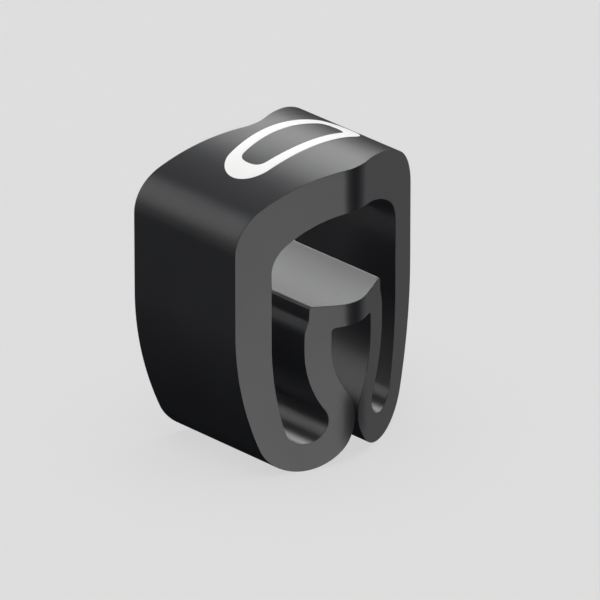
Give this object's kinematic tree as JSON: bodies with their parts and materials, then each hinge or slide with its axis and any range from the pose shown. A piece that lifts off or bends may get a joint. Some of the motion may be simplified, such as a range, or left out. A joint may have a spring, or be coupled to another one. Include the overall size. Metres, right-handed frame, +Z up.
{
  "type": "cable marker",
  "caption": "Closed push-on cable marker: a moulded hoop with nesting V-cut ends, round lobes and a sprung inner bridge that grips the cable, with a plain numeral printed on its crown.",
  "frame": {"origin": "middle of the footprint, on the surface that the two lobes stand on", "axes": "+X across the marker; +Y along the cable, from the convex V end to the concave V end; +Z up to the crown that carries the print"},
  "size_m": [0.0068, 0.0052, 0.009],
  "materials": {
    "clip_plastic": "satin, as moulded",
    "print_ink": "matt ink"
  },
  "bodies": {
    "root": {"marker_clip": "clip_plastic", "printed_zero": "print_ink"}
  },
  "joints": []
}
